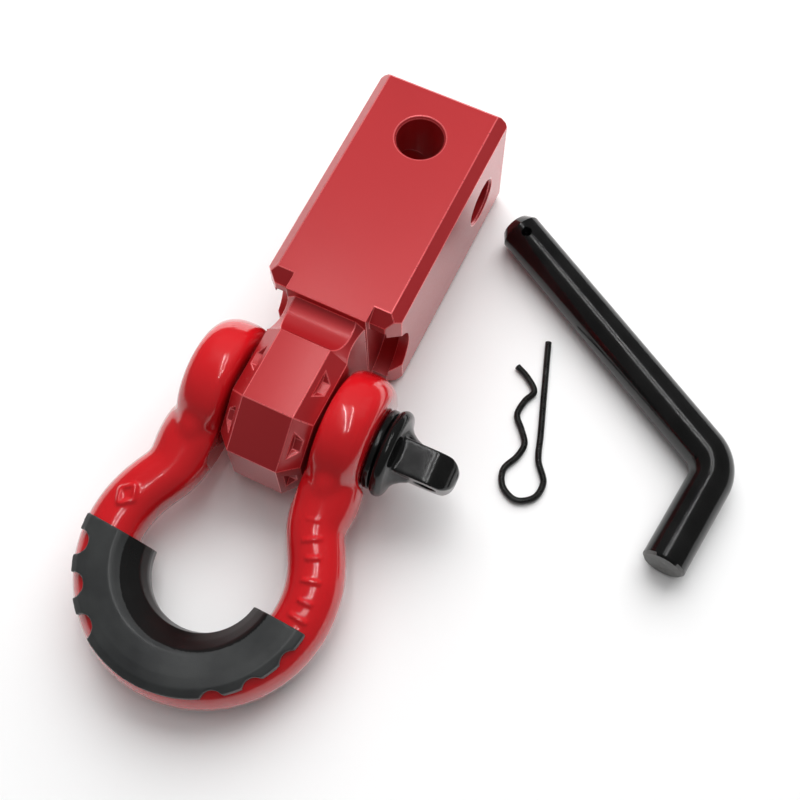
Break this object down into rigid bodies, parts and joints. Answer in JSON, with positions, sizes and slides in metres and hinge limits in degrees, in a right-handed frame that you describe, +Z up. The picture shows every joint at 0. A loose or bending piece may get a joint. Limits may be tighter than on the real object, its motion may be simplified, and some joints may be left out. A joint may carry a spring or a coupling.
{
  "type": "receiver shackle hitch",
  "caption": "Bow shackle with a screw pin on a square receiver block, a rubber isolator round its crown, and a loose bent hitch pin and spring clip.",
  "frame": {"origin": "middle of the kit's footprint, on the bench it lies on", "axes": "+Y along the receiver block, from the shackle towards the block's rear end; +Z up from the bench; the shackle pin's head is on the +X side"},
  "size_m": [0.1944, 0.2316, 0.0508],
  "materials": {
    "anodised_block": "satin red anodised",
    "red_powder_coat": "gloss red powder coat on forged steel",
    "black_coat": "gloss black coat on steel",
    "black_wire": "black spring wire",
    "isolator_rubber": "matt dark grey rubber"
  },
  "bodies": {
    "receiver": {"receiver_block": "anodised_block"},
    "shackle": {"shackle_bow": "red_powder_coat", "bow_isolator": "isolator_rubber"},
    "pin_carriage": {"pin_washer": "black_coat"},
    "screw_pin": {"shackle_pin": "black_coat"},
    "loose_hitch_pin": {"hitch_pin": "black_coat"},
    "loose_clip": {"hitch_pin_clip": "black_wire"}
  },
  "joints": [
    {"name": "shackle_swing", "type": "hinge", "parent": "receiver", "child": "shackle", "pos_m": [-0.05228, -0.00997, 0.0254], "axis": [-0.9998, -0.0192, 0], "range_deg": [0, 125]},
    {"name": "pin_travel", "type": "slide", "parent": "shackle", "child": "pin_carriage", "axis": [0.9998, 0.0192, 0], "range_m": [0, 0.01976]},
    {"name": "pin_screw", "type": "hinge", "parent": "pin_carriage", "child": "screw_pin", "pos_m": [-0.05228, -0.00997, 0.0254], "axis": [0.9998, 0.0192, 0], "range_deg": [0, 2520]},
    {"name": "hitch_pin_lift", "type": "slide", "parent": "receiver", "child": "loose_hitch_pin", "axis": [0, 0, 1], "range_m": [0, 0.06]},
    {"name": "clip_lift", "type": "slide", "parent": "receiver", "child": "loose_clip", "axis": [0, 0, 1], "range_m": [0, 0.02]}
  ],
  "couplings": [
    {"joint": "pin_travel", "follows": "pin_screw", "m_per_rad": 0.00044917}
  ]
}
